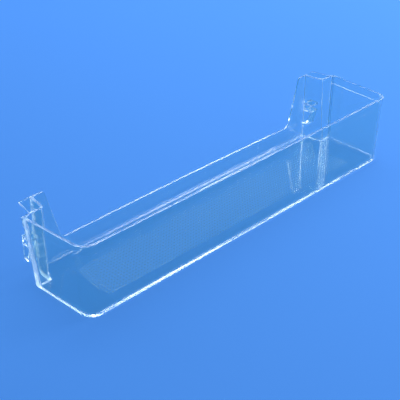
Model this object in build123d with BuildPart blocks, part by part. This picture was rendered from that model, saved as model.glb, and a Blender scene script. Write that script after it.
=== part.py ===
"""Clear moulded fridge door shelf: one thin-walled tray that hangs on two corner pockets.

X runs along the door, -Y faces the user, +Z is up. The origin is the centre of the footprint.
"""
import os
from build123d import *

os.makedirs("parts", exist_ok=True)

# Tray, measured over the rim
rim_length = 450.0          # at the back plane, where the plan is widest
tray_depth = 102.0
rim_height = 78.3
rim_taper = 6.3             # each end closes in by this much from back to front
end_draft_back = 6.3        # each end leans in by this much from rim to base, at the back
end_draft_front = 3.2
front_draft = 0.6
corner_radius = 14.0        # front corners in plan

# Moulded wall
wall = 2.2
floor = 2.5
base_radius = 2.5           # outside, round the foot of the walls
inside_radius = 2.4         # inside, round the floor and the foot of the pockets
band_height = 10.0          # thicker band along the rim
band_step = 0.6
rim_round = 0.4
edge_round = 0.6

# Low back wall and the ears it rises into
back_height = 22.0
back_crown = 1.6
ear_rise = 2.0              # ears stand above the rim
ear_tip_width = 13.0        # from the pocket to the ear's upper corner
ear_foot_width = 29.0       # from the pocket to the ear's foot
ear_tip_radius = 4.0
ear_foot_radius = 9.0

# Pockets over the door's lugs, one in each back corner
pocket_width = 28.4         # from the rim's end to the inner wall
pocket_lean = 3.2           # the inner wall closes in by this much towards the front
pocket_depth = 23.4         # at the rim
pocket_depth_base = 26.8
pillar_radius = 3.0         # upright corner of the pocket, inside the tray
room_radius = 4.5           # upright corners where the pocket meets the tray's walls
cap_thickness = 2.2
cap_width_back = 14.6
cap_width_front = 16.0

# Snap catch inside each pocket
catch_width = 12.6          # outward from the pocket's inner wall
catch_reach = 11.4          # forward from the back plane
catch_reach_base = 6.4
catch_base = 16.8
catch_shoulder = 35.3       # top of the wedge
catch_slot = 6.0            # gap that the lug's bead drops into
catch_plate = 2.5           # plate over the gap
catch_wall = 2.0
catch_root = 1.1            # how deep the catch is rooted in that wall

# Derived positions
clearance = 5.0             # how far the cutting bodies reach past the tray
crest_rise = 0.1            # upward part of the normal on the faces along the back's skyline
ear_height = rim_height + ear_rise
top_z = ear_height + clearance
back_y = tray_depth / 2
front_y = -tray_depth / 2
half_back = rim_length / 2
far_x = half_back + clearance
far_y = back_y + clearance
pocket_x = half_back - pocket_width
pocket_y = back_y - pocket_depth
pocket_slope = pocket_lean / pocket_depth
cap_x = pocket_x + cap_width_back
cap_front_x = pocket_x + pocket_lean + cap_width_front


def tray_plan(z, inset, back_inset=0.0):
    """Plan outline at height z: a trapezium, narrower at the front, with round front corners."""
    share = z / rim_height
    back_half = half_back - end_draft_back * (1 - share) - inset
    front_half = half_back - rim_taper - end_draft_front * (1 - share) - inset
    near_y = front_y + front_draft * (1 - share) + inset
    rear_y = back_y - back_inset
    with BuildSketch(Plane.XY.offset(z)) as plan:
        with BuildLine():
            Polyline(
                (-back_half, rear_y),
                (-front_half, near_y),
                (front_half, near_y),
                (back_half, rear_y),
                close=True,
            )
        make_face()
        fillet(plan.vertices().group_by(Axis.Y)[0], corner_radius - inset)
    return plan.sketch


def pocket_plan(z, inset):
    """Plan of the right pocket at height z, open to the back and the side; inset is its wall."""
    depth = pocket_depth_base + (pocket_depth - pocket_depth_base) * z / rim_height
    corner_y = back_y - depth + inset
    corner = (pocket_x + pocket_slope * (back_y - corner_y) + inset, corner_y)
    with BuildSketch(Plane.XY.offset(z)) as plan:
        with BuildLine():
            Polyline(
                (pocket_x - pocket_slope * clearance + inset, far_y),
                corner,
                (far_x, corner_y),
                (far_x, far_y),
                close=True,
            )
        make_face()
        fillet(plan.vertices().sort_by_distance(corner)[0], pillar_radius - inset)
    return plan.sketch


def add_pair(tool, mode):
    """Use a body made for the right end at both ends."""
    add(tool, mode=mode)
    add(mirror(tool, about=Plane.YZ, mode=Mode.PRIVATE), mode=mode)


# Space that each pocket takes out of the tray, and the hollow inside its wall
with BuildPart() as pillar:
    loft([pocket_plan(0, 0), pocket_plan(top_z, 0)], ruled=True)

with BuildPart() as hollow:
    loft([pocket_plan(-clearance, wall), pocket_plan(ear_height - cap_thickness, wall)], ruled=True)

# Room inside the tray, which runs round both pockets
with BuildPart() as room:
    room_inset = band_step + wall
    loft([tray_plan(floor, room_inset, wall), tray_plan(top_z, room_inset, wall)], ruled=True)
    add_pair(pillar.part, Mode.SUBTRACT)
    uprights = room.edges().filter_by_position(Axis.Z, floor + clearance, rim_height)
    uprights = uprights.filter_by(lambda edge: edge.center().Y > front_y + corner_radius)
    uprights = uprights.sort_by(lambda edge: abs(edge.center().X))
    fillet(uprights[:2] + uprights[-2:], room_radius)
    fillet(room.faces().sort_by(Axis.Z)[0].edges(), inside_radius)

# What is cut away above the back wall, the ears and the pockets, seen from the front
with BuildPart() as skyline:
    with BuildSketch(Plane.XZ.offset(-far_y)) as outline:
        with BuildLine():
            foot_x = pocket_x - ear_foot_width
            tip_x = pocket_x - ear_tip_width
            ThreePointArc((-foot_x, back_height), (0, back_height + back_crown), (foot_x, back_height))
            Polyline(
                (foot_x, back_height),
                (tip_x, ear_height),
                (cap_front_x, ear_height),
                (cap_front_x, rim_height),
                (far_x, rim_height),
                (far_x, top_z + clearance),
                (-far_x, top_z + clearance),
                (-far_x, rim_height),
                (-cap_front_x, rim_height),
                (-cap_front_x, ear_height),
                (-tip_x, ear_height),
                (-foot_x, back_height),
            )
        make_face()
        for x in (-foot_x, foot_x):
            fillet(outline.vertices().sort_by_distance((x, back_height))[0], ear_foot_radius)
        for x in (-tip_x, tip_x):
            fillet(outline.vertices().sort_by_distance((x, ear_height))[0], ear_tip_radius)
    extrude(amount=far_y - pocket_y)

# Slanted outer edge of each pocket's cap
with BuildPart() as cap_trim:
    with BuildSketch(Plane.XY.offset(rim_height - clearance)):
        with BuildLine():
            cap_slope = (cap_front_x - cap_x) / pocket_depth
            Polyline(
                (cap_x - cap_slope * clearance, far_y),
                (cap_front_x - cap_slope * wall, pocket_y + wall),
                (far_x, pocket_y + wall),
                (far_x, far_y),
                close=True,
            )
        make_face()
    extrude(amount=top_z + clearance - rim_height)

# Snap catch: a hollow wedge, a slot and a plate over it, standing out from the pocket's inner wall
with BuildPart() as catch:
    with BuildSketch(Plane.YZ.offset(pocket_x + wall - catch_root)):
        with BuildLine():
            slot_top = catch_shoulder + catch_slot
            Polyline(
                (back_y, catch_base),
                (back_y - catch_reach_base, catch_base),
                (back_y - catch_reach, catch_shoulder),
                (back_y - catch_wall, catch_shoulder),
                (back_y - catch_wall, slot_top),
                (back_y - catch_reach, slot_top),
                (back_y - catch_reach, slot_top + catch_plate),
                (back_y, slot_top + catch_plate),
                close=True,
            )
        make_face()
    extrude(amount=catch_root + catch_width)
    with BuildSketch(Plane.YZ.offset(pocket_x + wall)):
        with BuildLine():
            Polyline(
                (back_y, catch_base + catch_wall),
                (back_y - catch_reach_base + catch_wall, catch_base + catch_wall),
                (back_y - catch_reach + catch_wall, catch_shoulder - catch_wall),
                (back_y, catch_shoulder - catch_wall),
                close=True,
            )
        make_face()
    extrude(amount=catch_width - catch_wall, mode=Mode.SUBTRACT)

with BuildPart() as door_shelf:
    loft([tray_plan(0, band_step), tray_plan(top_z, band_step)], ruled=True)
    base_edges = door_shelf.faces().sort_by(Axis.Z)[0].edges().sort_by(Axis.Y)
    fillet(base_edges[:-1], base_radius)
    loft([tray_plan(rim_height - band_height, 0), tray_plan(top_z, 0)], ruled=True)
    add(room.part, mode=Mode.SUBTRACT)
    with BuildSketch(Plane.XY.offset(rim_height)):
        with Locations((0, pocket_y)):
            Rectangle(2 * far_x, tray_depth, align=(Align.CENTER, Align.MAX))
    extrude(amount=top_z, mode=Mode.SUBTRACT)
    add_pair(hollow.part, Mode.SUBTRACT)
    fillet(door_shelf.faces().sort_by(Axis.Z)[0].edges().sort_by(Axis.Y)[-1], base_radius)
    add(skyline.part, mode=Mode.SUBTRACT)
    add_pair(cap_trim.part, Mode.SUBTRACT)

    # Soft edges along the back wall, ears and caps, then along the rim
    crest = door_shelf.faces().filter_by(lambda face: face.normal_at().Z > crest_rise)
    crest = crest.filter_by(lambda face: face.center().Y > pocket_y and face.center().Z > back_height)
    fillet(crest.edges().filter_by(Axis.Y, reverse=True), edge_round)
    rim = door_shelf.edges().filter_by_position(Axis.Z, rim_height - edge_round, rim_height + edge_round)
    rim = rim.filter_by(lambda edge: edge.center().Y < pocket_y - room_radius)
    fillet(rim, rim_round)

    add_pair(catch.part, Mode.ADD)

door_shelf.part.label = "door_shelf"
export_step(door_shelf.part, "parts/door_shelf.step")
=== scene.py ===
"""Finish, dotted floor texture and plain stage for a clear moulded fridge door shelf."""
import math

import bpy
import numpy as np
from bpy.props import FloatProperty, FloatVectorProperty, IntProperty, PointerProperty
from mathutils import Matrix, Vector


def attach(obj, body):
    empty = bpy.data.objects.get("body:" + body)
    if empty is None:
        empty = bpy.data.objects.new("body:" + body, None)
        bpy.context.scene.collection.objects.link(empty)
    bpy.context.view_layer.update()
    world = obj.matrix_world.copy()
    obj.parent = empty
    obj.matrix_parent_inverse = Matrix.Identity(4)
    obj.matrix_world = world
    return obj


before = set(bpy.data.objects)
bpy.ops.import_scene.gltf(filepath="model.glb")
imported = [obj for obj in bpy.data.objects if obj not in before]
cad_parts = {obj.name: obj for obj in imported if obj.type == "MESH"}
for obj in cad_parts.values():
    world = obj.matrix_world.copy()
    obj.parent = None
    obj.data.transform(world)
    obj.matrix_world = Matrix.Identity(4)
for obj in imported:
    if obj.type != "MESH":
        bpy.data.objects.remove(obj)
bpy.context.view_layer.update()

bl_info = {
    "name": "Fridge door shelf",
    "version": (1, 0, 0),
    "blender": (4, 5, 0),
    "location": "View3D > Sidebar > Door shelf",
    "description": "Clear plastic finish, dotted floor texture and stage for a moulded door shelf",
    "category": "Object",
}

# Softboxes: name, turn from the door's length and rise in degrees, distance, width and height in
# metres, brightness
SOFTBOXES = (
    ("key_light", 43.0, 58.0, 3.0, 2.8, 1.0, 6.0),
    ("right_light", -24.0, 34.0, 3.0, 1.0, 2.4, 7.0),
    ("end_light", 10.0, 20.0, 3.0, 1.6, 0.9, 4.0),
    ("front_light", -78.0, 34.0, 3.0, 1.6, 1.4, 1.6),
    ("left_light", 98.0, 32.0, 3.0, 1.6, 1.2, 0.7),
    ("low_light", 45.0, 12.0, 3.0, 2.4, 0.6, 0.6),
)
# Name of the moulding's finish, which the dots on its floor share
MOULDING = "clear_moulding"
# Part of the noise's range over which polish turns to haze
WORN_FROM, WORN_TO = 0.45, 0.75
# Octaves of the noises that give flow bands, dulled patches and slow waves
FLOW_DETAIL, HAZE_DETAIL, RIPPLE_DETAIL = 3.0, 6.0, 1.0
# Strength at which a backdrop shows its colour as it is written
AS_WRITTEN = 1.0
WHITE = (1.0, 1.0, 1.0, 1.0)
SENSOR_WIDTH_MM = 36.0


class PlasticSettings(bpy.types.PropertyGroup):
    """Clear moulding."""

    tint: FloatVectorProperty(
        name="Tint", description="Colour that light keeps through one wall",
        subtype="COLOR", size=3, min=0, max=1, default=(0.87, 0.95, 0.905),
    )
    tint_dense: FloatVectorProperty(
        name="Tint in flow bands", description="Colour where the melt flowed slower and set denser",
        subtype="COLOR", size=3, min=0, max=1, default=(0.84, 0.93, 0.88),
    )
    flow_scale: FloatProperty(
        name="Flow bands", description="How many flow bands there are to the metre",
        min=0, default=9.0,
    )
    ior: FloatProperty(
        name="Index of refraction", description="Index of the clear plastic",
        min=1, max=2, default=1.52,
    )
    polish: FloatProperty(
        name="Polish", description="Roughness of the best polished places",
        subtype="FACTOR", min=0, max=1, default=0.004,
    )
    haze: FloatProperty(
        name="Haze", description="Roughness where handling has dulled the surface",
        subtype="FACTOR", min=0, max=1, default=0.02,
    )
    haze_scale: FloatProperty(
        name="Haze patches", description="How many dulled patches there are to the metre",
        min=0, default=55.0,
    )
    ripple: FloatProperty(
        name="Ripple", description="Height of the moulded surface's slow waves",
        unit="LENGTH", min=0, default=0.0001,
    )
    ripple_scale: FloatProperty(
        name="Ripples", description="How many slow waves there are to the metre",
        min=0, default=22.0,
    )
    ripple_strength: FloatProperty(
        name="Ripple strength", description="How strongly the slow waves bend the light",
        subtype="FACTOR", min=0, max=1, default=0.25,
    )
    edge_round: FloatProperty(
        name="Edge round", description="Radius over which sharp moulded edges catch the light",
        unit="LENGTH", min=0, default=0.0008,
    )
    edge_samples: IntProperty(
        name="Edge samples", description="How finely the round of a sharp edge is worked out",
        min=2, default=8,
    )
    shade_clear: FloatVectorProperty(
        name="Shade face on",
        description="Colour of the light that a lamp sends straight through a face",
        subtype="COLOR", size=3, min=0, max=1, default=(0.99, 1.0, 0.995),
    )
    shade_edge: FloatVectorProperty(
        name="Shade edge on", description="Colour of the light that a lamp sends along a face",
        subtype="COLOR", size=3, min=0, max=1, default=(0.25, 0.35, 0.45),
    )
    shade_blend: FloatProperty(
        name="Shade blend", description="How far from edge on a face begins to hold light back",
        subtype="FACTOR", min=0, max=1, default=0.05,
    )


class DotSettings(bpy.types.PropertyGroup):
    """Grid of small domes on the upper face of the floor."""

    pitch: FloatProperty(
        name="Pitch", description="Distance between neighbouring dots",
        unit="LENGTH", min=0.001, default=0.00386,
    )
    radius: FloatProperty(
        name="Radius", description="Radius of one dot at its foot",
        unit="LENGTH", min=0.0001, default=0.00062,
    )
    height: FloatProperty(
        name="Height", description="How far a dot stands above the floor",
        unit="LENGTH", min=0.00001, default=0.00007,
    )
    shoulder: FloatProperty(
        name="Shoulder", description="Share of the radius at which the ring below the apex lies",
        subtype="FACTOR", min=0, max=1, default=0.55,
    )
    sink: FloatProperty(
        name="Sink", description="How deep the flat foot of a dot lies in the floor",
        unit="LENGTH", min=0, default=0.0001,
    )
    floor_top: FloatProperty(
        name="Floor", description="Height of the floor's upper face", unit="LENGTH", default=0.0025,
    )
    half_length: FloatProperty(
        name="Half length", description="Reach of the dotted field each way along the door",
        unit="LENGTH", min=0, default=0.180,
    )
    near: FloatProperty(
        name="Front row", description="Place of the row nearest the front wall",
        unit="LENGTH", default=-0.0304,
    )
    far: FloatProperty(
        name="Back row", description="Place of the row nearest the back wall",
        unit="LENGTH", default=0.0216,
    )
    sides: IntProperty(
        name="Sides", description="Corners round one dot", min=6, default=8,
    )


class StageSettings(bpy.types.PropertyGroup):
    """Floor, light and camera."""

    floor_colour: FloatVectorProperty(
        name="Floor colour", description="Colour that the shelf stands on",
        subtype="COLOR", size=3, min=0, max=1, default=(0.06, 0.30, 0.93),
    )
    floor_roughness: FloatProperty(
        name="Floor roughness", description="How matt the floor is",
        subtype="FACTOR", min=0, max=1, default=0.9,
    )
    floor_half: FloatProperty(
        name="Floor reach", description="Half the side of the square floor",
        unit="LENGTH", min=1, default=12.0,
    )
    fade_near: FloatProperty(
        name="Backdrop begins",
        description="Distance from the shelf where the floor starts to even out",
        unit="LENGTH", min=0, default=0.7,
    )
    fade_far: FloatProperty(
        name="Backdrop full", description="Distance from the shelf where the floor is an even backdrop",
        unit="LENGTH", min=0, default=2.0,
    )
    floor_drop: FloatProperty(
        name="Floor gap", description="Hair gap between the floor and the shelf's underside",
        unit="LENGTH", min=0, default=0.0002,
    )
    room_strength: FloatProperty(
        name="Room light", description="Strength of the soft light from all round", min=0, default=0.05,
    )
    lamp_level: FloatProperty(
        name="Lamp level", description="Share of their full brightness that all softboxes shine with",
        subtype="FACTOR", min=0, max=1, default=1.0,
    )
    camera_place: FloatVectorProperty(
        name="Camera", description="Where the camera stands",
        subtype="TRANSLATION", unit="LENGTH", size=3, default=(-0.61432, -0.58318, 0.51907),
    )
    camera_turn: FloatProperty(
        name="Camera turn",
        description="Viewing direction, turned from the door's depth towards its length",
        subtype="ANGLE", default=math.radians(45.13),
    )
    camera_dip: FloatProperty(
        name="Camera dip", description="How far the camera looks below the horizon",
        subtype="ANGLE", default=math.radians(30.82),
    )
    lens: FloatProperty(
        name="Lens", description="Focal length on a 36 mm sensor", unit="CAMERA", min=1, default=84.79,
    )
    bounces: IntProperty(
        name="Bounces", description="How often light may turn inside the moulding before it is lost",
        min=8, default=256,
    )


class ShelfSettings(bpy.types.PropertyGroup):
    """All settings of the door shelf."""

    plastic: PointerProperty(type=PlasticSettings, name="Plastic", description="Clear moulding")
    dots: PointerProperty(type=DotSettings, name="Dots", description="Texture of the floor")
    stage: PointerProperty(type=StageSettings, name="Stage", description="Floor, light and camera")


def add_node(tree, kind, **values):
    """A shader node with its inputs set by name."""
    node = tree.nodes.new(kind)
    for name, value in values.items():
        node.inputs[name.replace("_", " ")].default_value = value
    return node


def add_noise(tree, place, scale, detail):
    """The value of a noise on the moulding's own coordinates."""
    noise = add_node(tree, "ShaderNodeTexNoise", Scale=scale, Detail=detail)
    tree.links.new(place.outputs["Object"], noise.inputs["Vector"])
    return noise.outputs["Fac"]


def mix_colours(tree, share, first, second):
    """A colour that goes from first to second as share goes from 0 to 1."""
    mix = tree.nodes.new("ShaderNodeMix")
    mix.data_type = "RGBA"
    colours = [socket for socket in mix.inputs if socket.type == "RGBA"]
    colours[0].default_value = (*first, 1)
    colours[1].default_value = (*second, 1)
    tree.links.new(share, mix.inputs["Factor"])
    return next(socket for socket in mix.outputs if socket.type == "RGBA")


def greater(tree, first, second):
    """The greater of two values."""
    node = tree.nodes.new("ShaderNodeMath")
    node.operation = "MAXIMUM"
    tree.links.new(first, node.inputs[0])
    tree.links.new(second, node.inputs[1])
    return node.outputs["Value"]


def clear_plastic(settings):
    """Polished clear plastic: refraction, flow bands, uneven polish and slow ripples.

    Lamps shine through it, less along a face than straight through one.
    """
    material = bpy.data.materials.new(MOULDING)
    material.use_nodes = True
    tree = material.node_tree
    tree.nodes.clear()
    link = tree.links.new
    place = add_node(tree, "ShaderNodeTexCoord")

    flow = add_noise(tree, place, settings.flow_scale, FLOW_DETAIL)
    tint = mix_colours(tree, flow, settings.tint, settings.tint_dense)

    polish = add_node(
        tree, "ShaderNodeMapRange",
        From_Min=WORN_FROM, From_Max=WORN_TO, To_Min=settings.polish, To_Max=settings.haze,
    )
    link(add_noise(tree, place, settings.haze_scale, HAZE_DETAIL), polish.inputs["Value"])

    edges = add_node(tree, "ShaderNodeBevel", Radius=settings.edge_round)
    edges.samples = settings.edge_samples
    bump = add_node(
        tree, "ShaderNodeBump", Strength=settings.ripple_strength, Distance=settings.ripple,
    )
    link(add_noise(tree, place, settings.ripple_scale, RIPPLE_DETAIL), bump.inputs["Height"])
    link(edges.outputs["Normal"], bump.inputs["Normal"])

    glass = add_node(
        tree, "ShaderNodeBsdfPrincipled", IOR=settings.ior, Transmission_Weight=1.0, Metallic=0.0,
    )
    link(tint, glass.inputs["Base Color"])
    link(polish.outputs["Result"], glass.inputs["Roughness"])
    link(bump.outputs["Normal"], glass.inputs["Normal"])

    ray = add_node(tree, "ShaderNodeLightPath")
    turned = add_node(tree, "ShaderNodeLayerWeight", Blend=settings.shade_blend)
    through = add_node(tree, "ShaderNodeBsdfTransparent")
    shade = mix_colours(tree, turned.outputs["Facing"], settings.shade_clear, settings.shade_edge)
    link(shade, through.inputs["Color"])
    mix = add_node(tree, "ShaderNodeMixShader")
    link(ray.outputs["Is Shadow Ray"], mix.inputs["Fac"])
    link(glass.outputs["BSDF"], mix.inputs[1])
    link(through.outputs["BSDF"], mix.inputs[2])
    out = add_node(tree, "ShaderNodeOutputMaterial")
    link(mix.outputs["Shader"], out.inputs["Surface"])
    return material


def dot_field(settings):
    """Points and faces of a lattice of small domes.

    A dome is z = height (1 - r^2) over a disc, where r goes from 0 at the apex to 1 at the foot. It is
    sampled at the apex, on a ring at the shoulder and on one at the foot. A last ring, sunk in the
    floor, closes it. The same shape is added to every centre of a square lattice.
    """
    reach = int(settings.half_length / settings.pitch)
    columns = np.arange(-reach, reach + 1) * settings.pitch
    rows = np.arange(settings.near, settings.far + settings.pitch / 2, settings.pitch)
    centres = np.stack(np.meshgrid(columns, rows, [settings.floor_top]), axis=-1).reshape(-1, 1, 3)

    sides = settings.sides
    turn = np.linspace(0, 2 * np.pi, sides, endpoint=False)
    spread = np.array([settings.shoulder, 1.0, 1.0])[:, None]
    level = np.array([settings.height * (1 - settings.shoulder ** 2), 0.0, -settings.sink])[:, None]
    circle = spread * settings.radius
    rings = np.stack([circle * np.cos(turn), circle * np.sin(turn), level + 0 * turn], axis=-1)
    dome = np.vstack([[[0.0, 0.0, settings.height]], rings.reshape(-1, 3)])
    points = (centres + dome).reshape(-1, 3)

    step = np.arange(sides)
    after = (step + 1) % sides
    top = np.stack([0 * step, 1 + step, 1 + after], axis=1)
    ring = 1 + sides * np.arange(len(rings) - 1)[:, None]
    bands = np.stack(
        [ring + step, ring + sides + step, ring + sides + after, ring + after], axis=-1,
    ).reshape(-1, 4)
    foot = (len(dome) - 1 - step)[None]
    shift = np.arange(len(centres))[:, None, None] * len(dome)
    faces = []
    for block in (top, bands, foot):
        faces.extend((block + shift).reshape(-1, block.shape[1]).tolist())
    return points, faces


class SHELF_OT_finish_moulding(bpy.types.Operator):
    """Give the moulding its clear plastic"""

    bl_idname = "shelf.finish_moulding"
    bl_label = "Finish moulding"

    def execute(self, context):
        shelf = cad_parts["door_shelf"]
        shelf.data.materials.clear()
        shelf.data.materials.append(clear_plastic(context.scene.door_shelf.plastic))
        return {"FINISHED"}


class SHELF_OT_emboss_floor(bpy.types.Operator):
    """Set a grid of small clear dots on the floor of the tray"""

    bl_idname = "shelf.emboss_floor"
    bl_label = "Emboss floor"

    def execute(self, context):
        points, faces = dot_field(context.scene.door_shelf.dots)
        mesh = bpy.data.meshes.new("floor_dots")
        mesh.from_pydata(points.tolist(), [], faces)
        mesh.shade_smooth()
        mesh.materials.append(bpy.data.materials[MOULDING])
        dots = bpy.data.objects.new("floor_dots", mesh)
        context.scene.collection.objects.link(dots)
        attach(dots, "root")
        return {"FINISHED"}


def plain_floor(settings):
    """Matt floor under the shelf, which turns into an even backdrop of its colour further away."""
    material = bpy.data.materials.new("stage_floor")
    material.use_nodes = True
    tree = material.node_tree
    tree.nodes.clear()
    link = tree.links.new
    colour = (*settings.floor_colour, 1)
    matt = add_node(
        tree, "ShaderNodeBsdfPrincipled", Base_Color=colour, Roughness=settings.floor_roughness,
    )
    even = add_node(tree, "ShaderNodeEmission", Color=colour, Strength=AS_WRITTEN)
    material.cycles.emission_sampling = "NONE"
    place = add_node(tree, "ShaderNodeTexCoord")
    away = add_node(tree, "ShaderNodeVectorMath")
    away.operation = "LENGTH"
    link(place.outputs["Object"], away.inputs[0])
    share = add_node(
        tree, "ShaderNodeMapRange", From_Min=settings.fade_near, From_Max=settings.fade_far,
    )
    share.interpolation_type = "SMOOTHSTEP"
    link(away.outputs["Value"], share.inputs["Value"])
    mix = add_node(tree, "ShaderNodeMixShader")
    link(share.outputs["Result"], mix.inputs["Fac"])
    link(matt.outputs["BSDF"], mix.inputs[1])
    link(even.outputs["Emission"], mix.inputs[2])
    out = add_node(tree, "ShaderNodeOutputMaterial")
    link(mix.outputs["Shader"], out.inputs["Surface"])

    half, low = settings.floor_half, -settings.floor_drop
    mesh = bpy.data.meshes.new("stage_floor")
    corners = [(-half, -half, low), (half, -half, low), (half, half, low), (-half, half, low)]
    mesh.from_pydata(corners, [], [(0, 1, 2, 3)])
    mesh.materials.append(material)
    floor = bpy.data.objects.new("stage_floor", mesh)
    bpy.context.scene.collection.objects.link(floor)


def softbox(level, name, turn, rise, distance, width, height, brightness):
    """A soft rectangular light on a sphere round the shelf, turned towards it.

    A white surface as bright as the light would have brightness 1, so the power is brightness times pi
    times the area.
    """
    light = bpy.data.lights.new(name, "AREA")
    light.shape = "RECTANGLE"
    light.size, light.size_y = width, height
    light.energy = level * brightness * math.pi * width * height
    lamp = bpy.data.objects.new(name, light)
    turn, rise = math.radians(turn), math.radians(rise)
    along = Vector((math.cos(rise) * math.cos(turn), math.cos(rise) * math.sin(turn), math.sin(rise)))
    lamp.location = distance * along
    lamp.rotation_euler = (-along).to_track_quat("-Z", "Y").to_euler()
    bpy.context.scene.collection.objects.link(lamp)


def room_light(settings):
    """Even soft light from all round. The camera and the plastic see the floor's colour instead."""
    world = bpy.data.worlds.new("room")
    world.use_nodes = True
    tree = world.node_tree
    tree.nodes.clear()
    link = tree.links.new
    even = add_node(tree, "ShaderNodeBackground", Color=WHITE, Strength=settings.room_strength)
    colour = (*settings.floor_colour, 1)
    seen = add_node(tree, "ShaderNodeBackground", Color=colour, Strength=AS_WRITTEN)

    ray = add_node(tree, "ShaderNodeLightPath").outputs
    plastic = greater(tree, ray["Is Glossy Ray"], ray["Is Transmission Ray"])
    viewed = greater(tree, plastic, ray["Is Camera Ray"])
    mix = add_node(tree, "ShaderNodeMixShader")
    link(viewed, mix.inputs["Fac"])
    link(even.outputs["Background"], mix.inputs[1])
    link(seen.outputs["Background"], mix.inputs[2])
    out = add_node(tree, "ShaderNodeOutputWorld")
    link(mix.outputs["Shader"], out.inputs["Surface"])
    bpy.context.scene.world = world


def photo_camera(settings):
    """Camera at the photograph's angle."""
    data = bpy.data.cameras.new("camera")
    data.sensor_width = SENSOR_WIDTH_MM
    data.lens = settings.lens
    camera = bpy.data.objects.new("camera", data)
    camera.location = settings.camera_place
    camera.rotation_euler = (math.pi / 2 - settings.camera_dip, 0.0, -settings.camera_turn)
    bpy.context.scene.collection.objects.link(camera)
    bpy.context.scene.camera = camera


class SHELF_OT_set_stage(bpy.types.Operator):
    """Add the floor, the soft lights and the camera"""

    bl_idname = "shelf.set_stage"
    bl_label = "Set stage"

    def execute(self, context):
        settings = context.scene.door_shelf.stage
        plain_floor(settings)
        for lamp in SOFTBOXES:
            softbox(settings.lamp_level, *lamp)
        room_light(settings)
        photo_camera(settings)
        context.scene.view_settings.view_transform = "Standard"
        # Lamps already shine through the plastic, so their light isn't counted twice under it
        context.scene.cycles.caustics_refractive = False
        context.scene.cycles.caustics_reflective = False
        context.scene.cycles.max_bounces = settings.bounces
        context.scene.cycles.glossy_bounces = settings.bounces
        context.scene.cycles.transmission_bounces = settings.bounces
        return {"FINISHED"}


class SHELF_PT_sidebar(bpy.types.Panel):
    """Settings and steps of the door shelf"""

    bl_idname = "SHELF_PT_sidebar"
    bl_label = "Door shelf"
    bl_space_type = "VIEW_3D"
    bl_region_type = "UI"
    bl_category = "Door shelf"

    def draw(self, context):
        settings = context.scene.door_shelf
        for group in (settings.plastic, settings.dots, settings.stage):
            box = self.layout.box()
            for name in group.__annotations__:
                box.prop(group, name)
        for step in STEPS:
            self.layout.operator(step.bl_idname)


STEPS = (SHELF_OT_finish_moulding, SHELF_OT_emboss_floor, SHELF_OT_set_stage)
CLASSES = (PlasticSettings, DotSettings, StageSettings, ShelfSettings, *STEPS, SHELF_PT_sidebar)


def register():
    """Make the settings, steps and panel known."""
    for item in CLASSES:
        bpy.utils.register_class(item)
    bpy.types.Scene.door_shelf = PointerProperty(
        type=ShelfSettings, name="Door shelf", description="All settings of the door shelf",
    )


def unregister():
    """Take them out again."""
    del bpy.types.Scene.door_shelf
    for item in reversed(CLASSES):
        bpy.utils.unregister_class(item)


def main():
    register()
    bpy.ops.shelf.finish_moulding()
    bpy.ops.shelf.emboss_floor()
    bpy.ops.shelf.set_stage()


if __name__ == "__main__":
    main()
